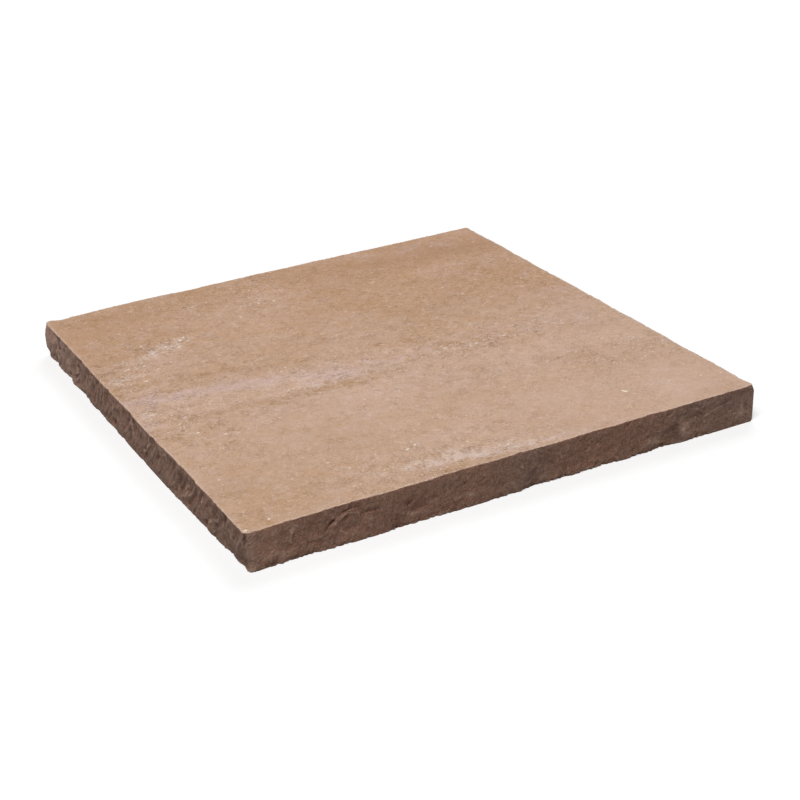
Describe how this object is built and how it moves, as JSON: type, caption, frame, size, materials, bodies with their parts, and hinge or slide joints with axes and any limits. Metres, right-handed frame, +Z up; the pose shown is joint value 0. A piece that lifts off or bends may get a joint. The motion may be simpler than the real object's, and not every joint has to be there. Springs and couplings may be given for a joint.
{
  "type": "pillar cap",
  "caption": "Square slab of tan sandstone with a flat top and rock-faced edges, laid flat as the cap of a masonry pillar.",
  "frame": {"origin": "middle of the sawn bed, on the surface that the slab lies on", "axes": "+Z up through the thickness, +X along the front face, +Y from the front face towards the back one"},
  "size_m": [0.61, 0.61, 0.045],
  "materials": {
    "sandstone": "sawn and lightly textured top, broken rock-faced edges in a darker red-brown"
  },
  "bodies": {
    "root": {"cap": "sandstone"}
  },
  "joints": []
}
